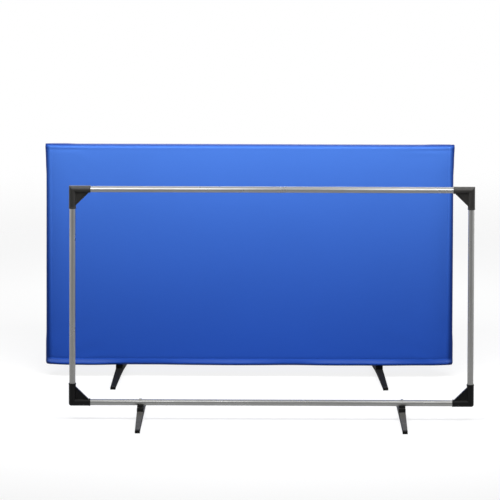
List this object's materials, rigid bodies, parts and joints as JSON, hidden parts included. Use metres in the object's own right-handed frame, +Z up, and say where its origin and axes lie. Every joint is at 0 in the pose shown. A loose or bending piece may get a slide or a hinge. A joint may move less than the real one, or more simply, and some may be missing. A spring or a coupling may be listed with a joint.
{
  "type": "table tennis barrier",
  "caption": "Set of court surround barriers on swivelling legs, in a blue cloth cover and as a bare aluminium tube frame.",
  "frame": {"origin": "on the floor, under the middle of the pair's bounding box", "axes": "+Z up, +X along the barriers' width, -Y towards the viewer's side, where the bare frame stands"},
  "size_m": [1.4816, 0.9596, 0.8351],
  "materials": {
    "frame_tube": "satin drawn aluminium tube",
    "corner_moulding": "black moulded plastic, faint sheen",
    "leg_moulding": "black moulded plastic, fine grain",
    "foot_rubber": "black rubber",
    "zinc_steel": "bright zinc plate",
    "cover_cloth": "blue coated cloth, low sheen"
  },
  "bodies": {
    "frames": {"covered_top_rail": "frame_tube", "covered_bottom_rail": "frame_tube", "covered_left_post": "frame_tube", "covered_right_post": "frame_tube", "covered_top_left_corner": "corner_moulding", "covered_top_right_corner": "corner_moulding", "covered_bottom_left_corner": "corner_moulding", "covered_bottom_right_corner": "corner_moulding", "covered_left_saddle": "leg_moulding", "covered_right_saddle": "leg_moulding", "covered_left_leg_bolt": "zinc_steel", "covered_right_leg_bolt": "zinc_steel", "covered_left_leg_washer": "zinc_steel", "covered_right_leg_washer": "zinc_steel", "covered_left_leg_nut": "zinc_steel", "covered_right_leg_nut": "zinc_steel", "bare_top_rail": "frame_tube", "bare_bottom_rail": "frame_tube", "bare_left_post": "frame_tube", "bare_right_post": "frame_tube", "bare_top_left_corner": "corner_moulding", "bare_top_right_corner": "corner_moulding", "bare_bottom_left_corner": "corner_moulding", "bare_bottom_right_corner": "corner_moulding", "bare_left_saddle": "leg_moulding", "bare_right_saddle": "leg_moulding", "bare_left_leg_bolt": "zinc_steel", "bare_right_leg_bolt": "zinc_steel", "bare_left_leg_washer": "zinc_steel", "bare_right_leg_washer": "zinc_steel", "bare_left_leg_nut": "zinc_steel", "bare_right_leg_nut": "zinc_steel"},
    "cover": {"cover_front_panel": "cover_cloth", "cover_back_panel": "cover_cloth", "cover_top_front_band": "cover_cloth", "cover_top_back_band": "cover_cloth", "cover_left_band": "cover_cloth", "cover_right_band": "cover_cloth"},
    "covered_left_leg_swivel": {"covered_left_leg": "leg_moulding", "covered_left_front_foot": "foot_rubber", "covered_left_rear_foot": "foot_rubber"},
    "covered_right_leg_swivel": {"covered_right_leg": "leg_moulding", "covered_right_front_foot": "foot_rubber", "covered_right_rear_foot": "foot_rubber"},
    "bare_left_leg_swivel": {"bare_left_leg": "leg_moulding", "bare_left_front_foot": "foot_rubber", "bare_left_rear_foot": "foot_rubber"},
    "bare_right_leg_swivel": {"bare_right_leg": "leg_moulding", "bare_right_front_foot": "foot_rubber", "bare_right_rear_foot": "foot_rubber"}
  },
  "joints": [
    {"name": "cover_lift", "type": "slide", "parent": "frames", "child": "cover", "axis": [0, 0, 1], "range_m": [0, 0.82]},
    {"name": "covered_left_leg_turn", "type": "hinge", "parent": "frames", "child": "covered_left_leg_swivel", "pos_m": [-0.48775, 0.29, 0.04], "axis": [0, 0, 1], "range_deg": [-83, 97]},
    {"name": "covered_right_leg_turn", "type": "hinge", "parent": "frames", "child": "covered_right_leg_swivel", "pos_m": [0.41625, 0.29, 0.04], "axis": [0, 0, 1], "range_deg": [-97, 83]},
    {"name": "bare_left_leg_turn", "type": "hinge", "parent": "frames", "child": "bare_left_leg_swivel", "pos_m": [-0.41175, -0.29, 0.04], "axis": [0, 0, 1], "range_deg": [-87, 93]},
    {"name": "bare_right_leg_turn", "type": "hinge", "parent": "frames", "child": "bare_right_leg_swivel", "pos_m": [0.49225, -0.29, 0.04], "axis": [0, 0, 1], "range_deg": [-93, 87]}
  ]
}
